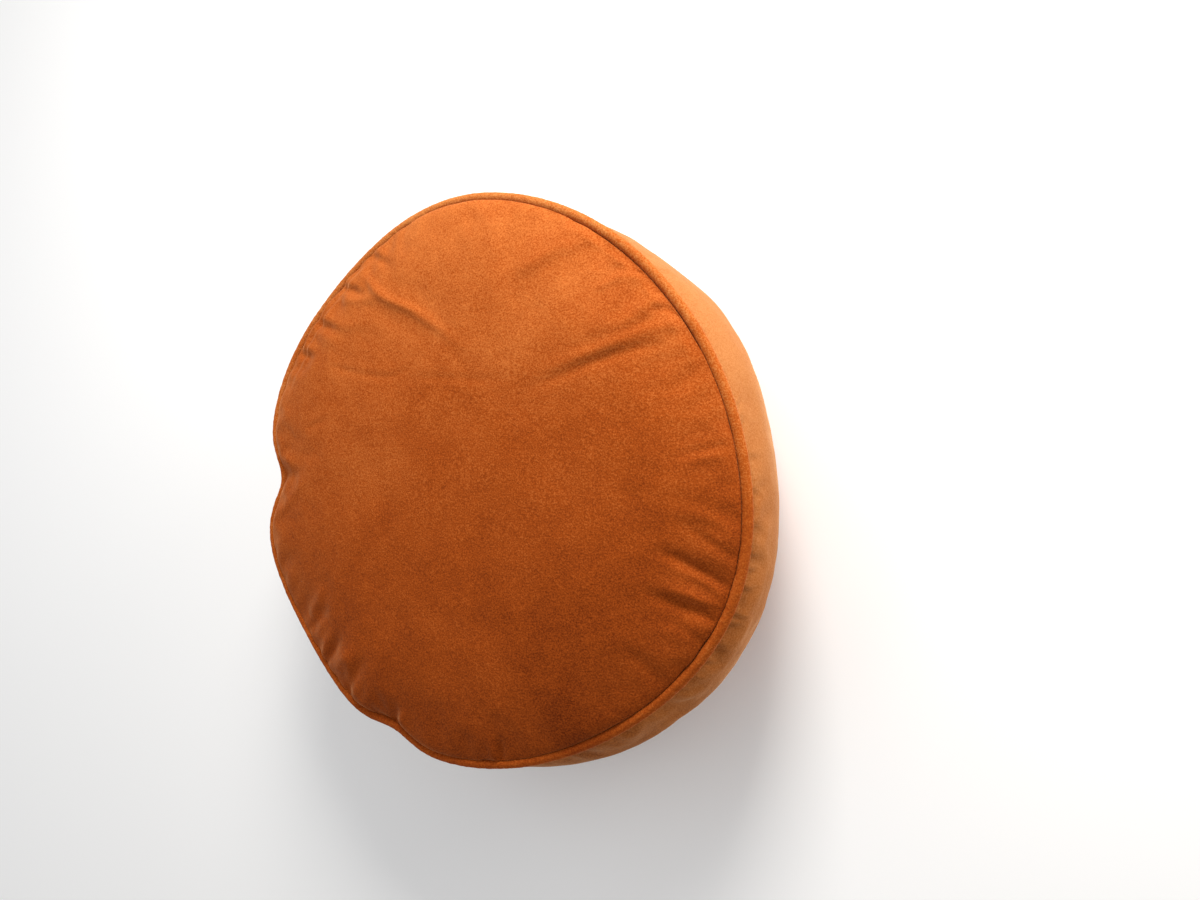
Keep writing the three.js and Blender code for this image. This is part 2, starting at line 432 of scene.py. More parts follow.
def close_inside(cover, seams):
    """Closes a cover inside the pouf: at each seam its edge goes on to the inner end of the
    piping's flange and from there flat to the axis."""
    mesh = cover.data
    used = np.zeros(len(mesh.edges), int)
    loops = np.empty(len(mesh.loops), int)
    mesh.loops.foreach_get("edge_index", loops)
    np.add.at(used, loops, 1)
    ends = np.empty(len(mesh.edges) * 2, int)
    mesh.edges.foreach_get("vertices", ends)
    edge = np.unique(ends.reshape(-1, 2)[used == 1])
    places = places_of(mesh)
    faces = [tuple(p.vertices) for p in mesh.polygons]
    added = []
    total = len(places)
    for cord_radius, seam_height, side in seams:
        near = edge[np.abs(places[edge, 2] - seam_height) < BAND_HEIGHT / 2]
        near = near[np.argsort(angles_of(places[near]))]
        count = len(near)
        angle = angles_of(places[near])
        inner = np.full(count, cord_radius - STEP_IN)
        steps = []
        for offset in (FLANGE_THICKNESS / 2 + PIECE_GAP, PIECE_GAP / 2):
            steps.append(total + np.arange(count))
            added.append(settle(inner, np.full(count, seam_height + side * offset), angle))
            total += count
        middle = total
        added.append(np.array([[0, 0, seam_height + side * PIECE_GAP / 2]]))
        total += 1
        for one, two in ((near, steps[0]), (steps[0], steps[1])):
            for k in range(count):
                after = (k + 1) % count
                quad = (one[k], one[after], two[after], two[k])
                faces.append(tuple(int(i) for i in (quad[::-1] if side > 0 else quad)))
        for k in range(count):
            fan = (middle, steps[1][k], steps[1][(k + 1) % count])
            faces.append(tuple(int(i) for i in (fan[::-1] if side > 0 else fan)))
    closed = bpy.data.meshes.new(mesh.name)
    closed.from_pydata(np.concatenate([places] + added).tolist(), [], faces)
    cover.data = closed


def finish_piece(piece, material, node):
    """Shades a piece smooth, gives it its velvet, ties it to the root body and hides the part it stands in
    for.
    """
    piece.data.materials.clear()
    piece.data.materials.append(material)
    piece.data.polygons.foreach_set("use_smooth", [True] * len(piece.data.polygons))
    piece.data.polygons.foreach_set("material_index", [0] * len(piece.data.polygons))
    piece.data.update()
    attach(piece, "root")
    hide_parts(node)


# Main creases of the top panel. Each runs through its points in the pouf's plane and fades at
# both ends. width is how far its trough reaches to either side, depth is how far it sinks, and
# lip is how far the cloth stands up beside it, on the left of its run where positive. A row with
# pinch starts sharply at the seam, with that share of its width.
CREASES = [
    dict(path=[(-0.122, 0.196), (-0.086, 0.166), (-0.046, 0.147), (-0.010, 0.124), (0.016, 0.104)],
         width=0.0065, depth=-0.0030),
    dict(path=[(-0.104, 0.198), (-0.072, 0.178), (-0.034, 0.158), (-0.004, 0.136)],
         width=0.011, depth=0.0009),
    dict(path=[(-0.124, 0.176), (-0.092, 0.153), (-0.052, 0.133), (-0.020, 0.110)],
         width=0.010, depth=0.0010),
    dict(path=[(-0.148, 0.171), (-0.114, 0.166), (-0.081, 0.164)],
         width=0.007, depth=-0.0018),
    dict(path=[(-0.154, 0.146), (-0.120, 0.142), (-0.094, 0.141)],
         width=0.008, depth=-0.0014),
    dict(path=[(-0.150, 0.106), (-0.129, 0.101), (-0.100, 0.094), (-0.066, 0.090), (-0.025, 0.103)],
         width=0.005, depth=0.0007, lip=0.0002),
    dict(path=[(-0.044, 0.087), (-0.006, 0.084), (0.034, 0.080), (0.078, 0.081)],
         width=0.006, depth=0.0006),
    dict(path=[(-0.176, 0.048), (-0.158, 0.052), (-0.138, 0.059)],
         width=0.005, depth=0.0006, lip=0.0003),
    dict(path=[(0.096, 0.236), (0.084, 0.225), (0.053, 0.189), (0.044, 0.150)],
         width=0.016, depth=0.0032),
    dict(path=[(0.060, 0.168), (0.073, 0.175), (0.104, 0.190), (0.136, 0.202)],
         width=0.010, depth=-0.0024),
    dict(path=[(0.130, 0.147), (0.149, 0.157), (0.172, 0.163)],
         width=0.006, depth=-0.0022),
    dict(path=[(0.176, 0.172), (0.150, 0.167), (0.130, 0.160)],
         width=0.006, depth=0.0018),
    dict(path=[(0.206, 0.134), (0.178, 0.132), (0.150, 0.119)],
         width=0.007, depth=-0.0020),
    dict(path=[(0.181, 0.173), (0.170, 0.165), (0.158, 0.162), (0.146, 0.161)],
         width=0.006, depth=0.0044, lip=-0.0016, pinch=0.7),
    dict(path=[(0.208, 0.138), (0.196, 0.132), (0.186, 0.129), (0.171, 0.126)],
         width=0.006, depth=0.0044, lip=-0.0016, pinch=0.7),
    dict(path=[(0.210, 0.124), (0.180, 0.121), (0.152, 0.108)],
         width=0.006, depth=0.0016),
    dict(path=[(0.212, 0.112), (0.188, 0.114), (0.152, 0.102), (0.119, 0.092), (0.070, 0.078)],
         width=0.008, depth=-0.0026),
    dict(path=[(0.206, 0.100), (0.176, 0.098), (0.142, 0.090), (0.107, 0.079), (0.058, 0.064)],
         width=0.0068, depth=0.0017),
    dict(path=[(0.172, 0.124), (0.142, 0.116), (0.110, 0.106)],
         width=0.012, depth=-0.0010),
    dict(path=[(0.241, 0.020), (0.219, 0.016), (0.198, 0.012)],
         width=0.006, depth=0.0016, lip=0.0010),
    dict(path=[(0.245, -0.094), (0.2195, -0.0755), (0.204, -0.067), (0.182, -0.056)],
         width=0.006, depth=0.0030, lip=0.0017, pinch=0.6),
    dict(path=[(0.240, -0.109), (0.2225, -0.0980), (0.206, -0.0910), (0.180, -0.084)],
         width=0.0045, depth=-0.0014, pinch=0.7),
    dict(path=[(0.236, -0.121), (0.2265, -0.1135), (0.2125, -0.1035), (0.193, -0.098), (0.174, -0.092)],
         width=0.006, depth=0.0030, lip=-0.0013, pinch=0.6),
    dict(path=[(0.249, -0.056), (0.236, -0.041), (0.222, -0.034), (0.200, -0.024)],
         width=0.007, depth=-0.0016),
    dict(path=[(0.248, -0.069), (0.230, -0.056), (0.210, -0.042), (0.190, -0.032)],
         width=0.007, depth=0.0021, pinch=0.7),
    dict(path=[(0.226, -0.138), (0.207, -0.121), (0.186, -0.109)],
         width=0.005, depth=0.0013, pinch=0.7),
    dict(path=[(-0.184, -0.129), (-0.166, -0.116), (-0.146, -0.094)],
         width=0.009, depth=-0.0024),
    dict(path=[(-0.190, -0.144), (-0.168, -0.132), (-0.144, -0.114)],
         width=0.009, depth=0.0028, pinch=0.7),
    dict(path=[(-0.172, -0.178), (-0.150, -0.160), (-0.124, -0.138)],
         width=0.009, depth=0.0036, lip=0.0014, pinch=0.6),
    dict(path=[(-0.158, -0.192), (-0.136, -0.172), (-0.108, -0.147)],
         width=0.009, depth=-0.0024),
    dict(path=[(-0.144, -0.206), (-0.122, -0.183), (-0.092, -0.155)],
         width=0.010, depth=0.0038, lip=0.0014, pinch=0.6),
    dict(path=[(-0.236, 0.004), (-0.206, 0.006), (-0.170, 0.004)],
         width=0.012, depth=0.0045, lip=0.0010),
    dict(path=[(-0.106, -0.238), (-0.084, -0.222), (-0.060, -0.193)],
         width=0.008, depth=0.0060, lip=-0.0024, pinch=0.6),
    dict(path=[(0.030, -0.250), (0.034, -0.236), (0.039, -0.212)],
         width=0.006, depth=0.0050, lip=0.0018, pinch=0.6),
]

# Short dents of the seam's edge at the upper left, and the full places between them
SEAM_DENTS = [
    dict(path=[(-0.126, 0.216), (-0.104, 0.206), (-0.079, 0.192)],
         width=0.006, depth=0.0030, lip=0.0012),
    dict(path=[(-0.158, 0.188), (-0.132, 0.178), (-0.105, 0.167)],
         width=0.006, depth=0.0032, lip=0.0012),
    dict(path=[(-0.184, 0.153), (-0.160, 0.145), (-0.134, 0.137)],
         width=0.007, depth=0.0032, lip=0.0014),
    dict(path=[(-0.212, 0.126), (-0.190, 0.121), (-0.165, 0.116)],
         width=0.006, depth=0.0024, lip=0.0010),
    dict(path=[(-0.150, 0.200), (-0.128, 0.191), (-0.100, 0.180)],
         width=0.009, depth=-0.0016),
    dict(path=[(-0.176, 0.140), (-0.152, 0.132), (-0.123, 0.123)],
         width=0.010, depth=-0.0016),
]

# Where the panel sinks along the seam, beside the piping
SEAM_GROOVES = [
    dict(path=[(0.096, 0.218), (0.1106, 0.2079), (0.1493, 0.1779), (0.1775, 0.1489), (0.2013, 0.1163),
               (0.224, 0.0728), (0.232, 0.046)],
         width=0.005, depth=0.0026, lip=-0.0012),
    dict(path=[(-0.104, 0.212), (-0.132, 0.196), (-0.162, 0.168), (-0.190, 0.132), (-0.212, 0.092),
               (-0.222, 0.064)],
         width=0.005, depth=0.0022, lip=0.0010),
]

# How soon a crease takes hold above the piping
SEAM_HOLD = 0.0016

# Where the panel draws back from the piping, which leaves a wider dark line beside it, and the
# height over which it does
SEAM_OPENING = [
    dict(angle=46, spread=14, reach=0.0026),
    dict(angle=142, spread=14, reach=0.0018),
    dict(angle=-112, spread=6, reach=0.0012),
]
OPENING_HEIGHT = 0.004
OPENING_START = 0.001

# How far from the seams the band's creases and its gathers have their full depth
BAND_CREASE_MARGIN = 0.025
GATHER_MARGIN = 0.009

# Long soft creases of the band, as (angle, height) points
BAND_CREASES = [
    dict(path=[(-42, 0.078), (-24, 0.070), (-4, 0.068), (14, 0.060)],
         width=0.010, depth=0.0026, lip=0.0014),
    dict(path=[(-20, 0.046), (2, 0.042), (24, 0.050), (44, 0.048)],
         width=0.009, depth=0.0029, lip=0.0016),
    dict(path=[(20, 0.084), (38, 0.076), (60, 0.074)],
         width=0.011, depth=0.0022, lip=0.0013),
    dict(path=[(58, 0.054), (80, 0.046), (104, 0.050)],
         width=0.009, depth=0.0027, lip=0.0014),
    dict(path=[(92, 0.088), (112, 0.078), (134, 0.080)],
         width=0.010, depth=0.0024, lip=0.0014),
    dict(path=[(128, 0.052), (148, 0.046), (168, 0.056)],
         width=0.009, depth=0.0029, lip=0.0016),
    dict(path=[(-176, 0.072), (-158, 0.062), (-138, 0.066)],
         width=0.010, depth=0.0027, lip=0.0014),
    dict(path=[(-148, 0.042), (-124, 0.038), (-102, 0.046)],
         width=0.009, depth=0.0026, lip=0.0014),
    dict(path=[(-118, 0.086), (-98, 0.076), (-80, 0.078)],
         width=0.010, depth=0.0024, lip=0.0013),
    dict(path=[(-88, 0.050), (-68, 0.044), (-46, 0.050)],
         width=0.009, depth=0.0029, lip=0.0016),
    dict(path=[(-70, 0.104), (-54, 0.094), (-38, 0.096)],
         width=0.010, depth=0.0021, lip=0.0011),
]


# Shares of a crease's length over which it comes in, comes in where it is pinched, widens where
# it is pinched, and dies out; where its lip stands, in widths; and the steps of its smooth run
CREASE_START = (-0.05, 0.2)
PINCHED_START = (-0.2, 0.12)
PINCH_END = 0.7
CREASE_END = (0.5, 1.0)
LIP_OFFSET = 1.1
RUN_STEPS = 6

# Slight unevenness of the filled covers
PANEL_RIPPLES = [dict(size=0.07, height=0.0012, seed=1), dict(size=0.022, height=0.00035, seed=2)]
BAND_RIPPLES = [dict(size=0.06, height=0.0014, seed=4), dict(size=0.02, height=0.0004, seed=5)]

# Short gathers of the band at its seams: how many, and the least and the most of each size
GATHERS_AT_TOP = 84
GATHERS_AT_FOOT = 72
GATHER_LENGTH = (0.010, 0.030)
GATHER_WIDTH = (0.0026, 0.0050)
GATHER_DEPTH = (0.0004, 0.0014)
GATHER_SLANT = 5
GATHER_START = 0.002
GATHER_LIP = 0.6

# The deepest ones, beside the piping at the lower right: angles of their troughs
DEEP_GATHERS = [-14, -17.5, -20, -24.5, -27, -31, -34.5, -38, -41, -45.5, -49, -56]
DEEP_GATHER = dict(width=0.0030, depth=0.0022, lip=0.0016)
DEEP_GATHER_LENGTH = (0.016, 0.026)
DEEP_GATHER_SLANT = 1.5


def gather_rows():
    """Rows of the band's gathers, in the order in which they are drawn."""
    draw = np.random.default_rng(21)
    rows = []
    for count, seam, way in ((GATHERS_AT_TOP, TOP_SEAM_HEIGHT, -1), (GATHERS_AT_FOOT, FOOT_SEAM_HEIGHT, 1)):
        for k in range(count):
            angle = -180 + (k + draw.uniform(0.1, 0.9)) * 360 / count
            length = draw.uniform(*GATHER_LENGTH)
            depth = draw.uniform(*GATHER_DEPTH)
            end = angle + draw.uniform(-GATHER_SLANT, GATHER_SLANT)
            rows.append(dict(path=[(angle, seam + way * GATHER_START), (end, seam + way * length)],
                             width=draw.uniform(*GATHER_WIDTH), depth=depth, lip=GATHER_LIP * depth))
    for angle in DEEP_GATHERS:
        end = angle + draw.uniform(-DEEP_GATHER_SLANT, DEEP_GATHER_SLANT)
        length = draw.uniform(*DEEP_GATHER_LENGTH)
        rows.append(dict(DEEP_GATHER, path=[(angle, TOP_SEAM_HEIGHT), (end, TOP_SEAM_HEIGHT - length)]))
    return rows


def along(points, steps):
    """Points on a smooth line through the given ones."""
    points = np.array(points)
    spare = np.concatenate([[2 * points[0] - points[1]], points, [2 * points[-1] - points[-2]]])
    out = []
    for k in range(len(points) - 1):
        p0, p1, p2, p3 = spare[k:k + 4]
        for t in np.arange(steps) / steps:
            out.append(0.5 * (2 * p1 + (p2 - p0) * t + (2 * p0 - 5 * p1 + 4 * p2 - p3) * t ** 2
                              + (3 * p1 - p0 - 3 * p2 + p3) * t ** 3))
    out.append(points[-1])
    return np.array(out)


def crease_height(places, crease):
    """How far a crease lifts each place of a flat layout, in metres."""
    line = along(crease["path"], RUN_STEPS)
    lengths = np.linalg.norm(np.diff(line, axis=0), axis=1)
    walked = np.concatenate([[0], np.cumsum(lengths)])
    nearest = np.full(len(places), np.inf)
    across = np.zeros(len(places))
    share = np.zeros(len(places))
    for k, length in enumerate(lengths):
        run = (line[k + 1] - line[k]) / length
        offset = places[:, :2] - line[k]
        ahead = np.clip(offset @ run, 0, length)
        gap = offset - ahead[:, None] * run
        distance = np.hypot(gap[:, 0], gap[:, 1])
        closer = distance < nearest
        side = np.sign(run[0] * offset[:, 1] - run[1] * offset[:, 0])
        nearest = np.where(closer, distance, nearest)
        across = np.where(closer, side * distance, across)
        share = np.where(closer, (walked[k] + ahead) / walked[-1], share)
    pinch = crease.get("pinch", 1)
    rise = smooth(share, *(CREASE_START if pinch == 1 else PINCHED_START))
    fade = rise * (1 - smooth(share, *CREASE_END))
    width = crease["width"] * (pinch + (1 - pinch) * smooth(share, 0, PINCH_END))
    trough = np.exp(-2 * (across / width) ** 2)
    lip = crease.get("lip", 0)
    beside = across * np.sign(lip) - LIP_OFFSET * width
    stand = np.exp(-2 * (beside / width) ** 2)
    return fade * (abs(lip) * stand - crease["depth"] * trough)


def on_band(crease):
    """The crease with its (angle, height) points turned into a flat layout of the band."""
    path = [(np.radians(angle) * TOP_CORD_RADIUS, height) for angle, height in crease["path"]]
    return dict(crease, path=path)


def ripple(places, size, height, seed):
    """Soft unevenness: lift of each place by noise of that size and height."""
    shift = Vector((seed * 3.1, seed * 7.7, seed * 1.3))
    return height * np.array([noise.noise(Vector(p) / size + shift) for p in places])


def top_panel(velvet):
    """Domed top panel, eased into the upper seam."""
    hug = round_cord(TOP_CORD_RADIUS, TOP_SEAM_HEIGHT, PANEL_LEAVES, CORD_BACK, CORD_RINGS)
    edge_radius, edge_height = hug[0]
    rise = TOP_SEAM_HEIGHT + SLACK_CROWN_HEIGHT - edge_height
    rings = []
    held = [[0.0]]
    for radius in panel_radii(edge_radius)[:-1]:
        share = radius / edge_radius
        height = edge_height + rise * (1 - share ** CROWN_FLATNESS) ** CROWN_PLUMPNESS
        cells = cells_at(radius, edge_radius)
        rings.append(ring(cells, radius, height))
        held.append(np.zeros(cells))
    for step, (radius, height) in enumerate(hug):
        rings.append(ring(RIM_CELLS, radius, height))
        held.append(np.full(RIM_CELLS, float(step >= 2)))
    middle = (0, 0, TOP_SEAM_HEIGHT + SLACK_CROWN_HEIGHT)
    cover = cover_object("top_panel_velvet", rings, first=middle)
    places = places_of(cover.data)
    around = angles_of(places)
    rim = np.hypot(*settle(np.full(len(places), edge_radius), edge_height, around)[:, :2].T)
    inwards = rim - np.hypot(places[:, 0], places[:, 1])
    reach = EVEN_REACH + bells(EASE_REACH, around)
    ease = (1 - smooth(inwards, 0, reach)) * (EVEN_EASE + bells(TOP_PANEL_EASE, around))
    far = smooth(inwards, *(share * reach for share in HOLD_ZONE))
    fill(cover, np.maximum(np.concatenate(held), MIDDLE_HOLD * far), ease, 11)
    put_places(cover.data, clear_of_cord(places_of(cover.data), TOP_CORD_RADIUS, TOP_SEAM_HEIGHT))
    refine(cover)
    places = places_of(cover.data)
    around = angles_of(places)
    over_cord = places[:, 2] - TOP_SEAM_HEIGHT - bells(TOP_LIFT, around) - CORD_RADIUS
    opening = bells(SEAM_OPENING, around) * np.exp(-0.5 * (over_cord / OPENING_HEIGHT) ** 2)
    opening *= smooth(over_cord, OPENING_START - CORD_RADIUS, 0)
    radii = np.maximum(np.hypot(places[:, 0], places[:, 1]), CORD_RADIUS)
    places[:, :2] *= (1 - opening / radii)[:, None]
    above = np.maximum(over_cord, 0)
    give = above / (above + SEAM_HOLD)
    lift = sum(crease_height(places, crease) for crease in CREASES + SEAM_DENTS + SEAM_GROOVES)
    for wave in PANEL_RIPPLES:
        lift = lift + ripple(places, **wave)
    places[:, 2] += give * lift
    put_places(cover.data, places)
    close_inside(cover, [(TOP_CORD_RADIUS, TOP_SEAM_HEIGHT, 1)])
    finish_piece(cover, velvet, "top_panel")
    return cover


def side_band(velvet):
    """Side band, eased into both seams and fullest above its middle."""
    upper = round_cord(TOP_CORD_RADIUS, TOP_SEAM_HEIGHT, -CORD_BACK, -BAND_LEAVES, CORD_RINGS)
    lower = round_cord(FOOT_CORD_RADIUS, FOOT_SEAM_HEIGHT, BAND_LEAVES, CORD_BACK, CORD_RINGS)
    top, foot = np.array(upper[-1]), np.array(lower[0])
    angle = ring_angles(RIM_CELLS)
    fullness = BAND_SWELL + bells(BAND_FULLNESS, angle)
    cell = 2 * np.pi * TOP_CORD_RADIUS / RIM_CELLS
    steps = int(round(BAND_LENGTHENING * (top[1] - foot[1]) / cell))
    rings = [ring(RIM_CELLS, *place) for place in upper]
    for share in np.arange(1, steps) / steps:
        radius, height = top + (foot - top) * share
        swell = fullness * np.sin(np.pi * (1 - share) ** BAND_SWELL_RISE)
        rings.append(settle(radius + swell, np.full(RIM_CELLS, height), angle))
    rings += [ring(RIM_CELLS, *place) for place in lower]
    cover = cover_object("side_band_velvet", rings)
    places = places_of(cover.data)
    at = np.repeat(np.arange(len(rings)), RIM_CELLS)
    held = ((at < 2) | (at >= len(rings) - 2)).astype(float)
    high = smooth(places[:, 2], *(TOP_SEAM_HEIGHT - depth for depth in TOP_EASE_ZONE))
    low = 1 - smooth(places[:, 2], *(FOOT_SEAM_HEIGHT + rise for rise in FOOT_EASE_ZONE))
    around = angles_of(places)
    ease = high * (EVEN_EASE + bells(TOP_BAND_EASE, around))
    ease = BAND_EASE_SCALE * (ease + low * (EVEN_EASE + bells(FOOT_EASE, around)))
    held = np.maximum(held, MIDDLE_HOLD * (1 - high) * (1 - low))
    fill(cover, held, ease, 12)
    places = clear_of_cord(places_of(cover.data), TOP_CORD_RADIUS, TOP_SEAM_HEIGHT)
    put_places(cover.data, clear_of_cord(places, FOOT_CORD_RADIUS, FOOT_SEAM_HEIGHT))
    refine(cover)
    places = places_of(cover.data)
    turn = np.arctan2(places[:, 1], places[:, 0])
    laid_out = np.stack([turn * TOP_CORD_RADIUS, places[:, 2]], axis=-1)
    lift = sum(ripple(places, **wave) for wave in BAND_RIPPLES)
    for crease in BAND_CREASES:
        lift += crease_height(laid_out, on_band(crease))
    from_seams = np.minimum(TOP_SEAM_HEIGHT - places[:, 2], places[:, 2] - FOOT_SEAM_HEIGHT)
    lift *= smooth(from_seams, CORD_CLEARANCE, BAND_CREASE_MARGIN)
    gathers = sum(crease_height(laid_out, on_band(gather)) for gather in gather_rows())
    lift += gathers * smooth(from_seams, CORD_CLEARANCE / 2, GATHER_MARGIN)
    places[:, 0] += lift * np.cos(turn)
    places[:, 1] += lift * np.sin(turn)
    put_places(cover.data, places)
    seams = [(TOP_CORD_RADIUS, TOP_SEAM_HEIGHT, -1), (FOOT_CORD_RADIUS, FOOT_SEAM_HEIGHT, 1)]
    close_inside(cover, seams)
    finish_piece(cover, velvet, "side_band")
    return cover


def bottom_panel(velvet):
    """Underside panel, pressed flat on the floor inside the rest radius."""
    hug = round_cord(FOOT_CORD_RADIUS, FOOT_SEAM_HEIGHT, -CORD_BACK, -PANEL_LEAVES, CORD_RINGS)
    edge_radius, edge_height = hug[-1]
    rings = [ring(RIM_CELLS, *place) for place in hug]
    held = [np.full(RIM_CELLS, float(step < 2)) for step in range(len(hug))]
    near_rim = [np.ones(RIM_CELLS) for _ in hug]
    for radius in panel_radii(edge_radius)[-2::-1]:
        share = np.clip((radius - REST_RADIUS) / (edge_radius - REST_RADIUS), 0, 1)
        cells = cells_at(radius, edge_radius)
        rings.append(ring(cells, radius, edge_height * share ** ROLL_LIFT))
        held.append(np.full(cells, float(radius < REST_RADIUS)))
        near_rim.append(np.full(cells, smooth(radius, REST_RADIUS, edge_radius - FOOT_EASE_EDGE)))
    held.append([1.0])
    near_rim.append([0.0])
    cover = cover_object("bottom_panel_velvet", rings, last=(0, 0, 0))
    places = places_of(cover.data)
    ease = EVEN_EASE + bells(FOOT_EASE, angles_of(places))
    fill(cover, np.concatenate(held), ease * np.concatenate(near_rim), 13)
    places = clear_of_cord(places_of(cover.data), FOOT_CORD_RADIUS, FOOT_SEAM_HEIGHT)
    places[:, 2] = np.maximum(places[:, 2], 0)
    put_places(cover.data, places)
    refine(cover)
    places = places_of(cover.data)
    places[:, 2] = np.maximum(places[:, 2], 0)
    put_places(cover.data, places)
    close_inside(cover, [(FOOT_CORD_RADIUS, FOOT_SEAM_HEIGHT, -1)])
    finish_piece(cover, velvet, "bottom_panel")
    return cover


class Tree:
    """A node tree that is filled by short calls."""

    def __init__(self, tree):
        self.tree = tree
        tree.nodes.clear()

    def add(self, kind, inputs=(), **settings):
        """Adds a node, makes its settings, and sets or links its inputs by name or number."""
        node = self.tree.nodes.new(kind)
        for name, value in settings.items():
            setattr(node, name, value)
        for key, value in dict(inputs).items():
            socket = node.inputs[key]
            if isinstance(value, bpy.types.NodeSocket):
                self.tree.links.new(value, socket)
            else:
                socket.default_value = value
        return node

    def math(self, operation, *values):
        """Result of a maths node on values or sockets."""
        return self.add("ShaderNodeMath", enumerate(values), operation=operation).outputs[0]


# How strongly each layer of the pile shows in the velvet's tone, and in its fine relief
BRUSHED_TONE = 0.07
PATCH_TONE = 0.035
MOTTLE_TONE = 0.025
GRAIN_TONE = 0.2
STANDING_TONE = 0.5
GRAIN_RELIEF = 0.5
MOTTLE_RELIEF = 0.6
PATCH_RELIEF = 0.8
PILE_DEPTH = 0.00025
PILE_STRENGTH = 0.4

# Tones of the deepest and of the lightest pile, and how the pile takes light
DEEPEST_TONE = 0.08
LIGHTEST_TONE = 0.95
PILE_ROUGHNESS = (0.78, 0.95)
PILE_GLOSS = 0.04
PILE_SHEEN = 0.4
SHEEN_ROUGHNESS = 0.32


def velvet_material(name, deep, middle, lit, sheen, painted_light_gradient):
    """Short-pile velvet: deep, middle and lit are the colours at the dark end, the middle and the
    light end of its tone, which mixes random pile tone with painted light and shade. The last
    argument is how much lighter the colour is painted for each metre along X and along Y."""
    material = bpy.data.materials.new(name)
    material.use_nodes = True
    tree = Tree(material.node_tree)
    place = tree.add("ShaderNodeTexCoord").outputs["Object"]

    def cloud(scale, detail, roughness=0.5, distortion=0.0):
        return tree.add("ShaderNodeTexNoise", {
            "Vector": place, "Scale": scale, "Detail": detail,
            "Roughness": roughness, "Distortion": distortion}).outputs["Fac"]

    def spread(value, low, high):
        return tree.add("ShaderNodeMapRange", {
            "Value": value, "From Min": low, "From Max": high,
            "To Min": -1.0, "To Max": 1.0}).outputs["Result"]

    brushed = spread(cloud(9.0, 3.0, 0.55, 0.8), 0.32, 0.68)
    patch = spread(cloud(38.0, 2.0, 0.5, 0.5), 0.32, 0.68)
    mottle = spread(cloud(230.0, 1.0, 0.6), 0.3, 0.7)
    grain = spread(cloud(760.0, 1.5, 0.6), 0.3, 0.7)
    along_axes = tree.add("ShaderNodeSeparateXYZ", {"Vector": place}).outputs
    tone = tree.math("MULTIPLY", brushed, BRUSHED_TONE)
    # Painted light and shade: the colour is painted lighter for each metre along X and along Y, towards the
    # side the lights stand on, and darker away from it
    tone = tree.math("MULTIPLY_ADD", along_axes["X"], painted_light_gradient[0], tone)
    tone = tree.math("MULTIPLY_ADD", along_axes["Y"], painted_light_gradient[1], tone)
    tone = tree.math("MULTIPLY_ADD", patch, PATCH_TONE, tone)
    tone = tree.math("MULTIPLY_ADD", mottle, MOTTLE_TONE, tone)
    tone = tree.math("MULTIPLY_ADD", grain, GRAIN_TONE, tone)
    tone = tree.math("ADD", tone, STANDING_TONE)
    ramp = tree.add("ShaderNodeValToRGB", {"Fac": tone})
    ramp.color_ramp.elements[0].color = (*deep, 1)
    ramp.color_ramp.elements[0].position = DEEPEST_TONE
    ramp.color_ramp.elements[1].color = (*lit, 1)
    ramp.color_ramp.elements[1].position = LIGHTEST_TONE
    ramp.color_ramp.elements.new(STANDING_TONE).color = (*middle, 1)
    height = tree.math("MULTIPLY", grain, GRAIN_RELIEF)
    height = tree.math("MULTIPLY_ADD", mottle, MOTTLE_RELIEF, height)
    height = tree.math("MULTIPLY_ADD", patch, PATCH_RELIEF, height)
    bump = tree.add("ShaderNodeBump", {
        "Height": height, "Strength": PILE_STRENGTH, "Distance": PILE_DEPTH})
    rough = tree.add("ShaderNodeMapRange", {
        "Value": patch, "From Min": -1.0, "From Max": 1.0,
        "To Min": PILE_ROUGHNESS[0], "To Max": PILE_ROUGHNESS[1]})
    surface = tree.add("ShaderNodeBsdfPrincipled", {
        "Base Color": ramp.outputs["Color"], "Roughness": rough.outputs["Result"],
        "Normal": bump.outputs["Normal"], "Specular IOR Level": PILE_GLOSS,
        "Sheen Weight": PILE_SHEEN, "Sheen Roughness": SHEEN_ROUGHNESS, "Sheen Tint": (*sheen, 1)})
    out = tree.add("ShaderNodeOutputMaterial", {"Surface": surface.outputs["BSDF"]})
    out.is_active_output = True
    return material


# The bias-cut strip round a cord: its wrinkles, how many times longer than wide they are, how
# its thickness changes and how many times for each metre, and the sides of its section
WRINKLE_HEIGHT = 0.0009
WRINKLE_LENGTH = 0.004
WRINKLE_STRETCH = 4.0
THICKNESS_CHANGE = 0.0006
CHANGES_A_METRE = 22.0
CORD_SIDES = 20


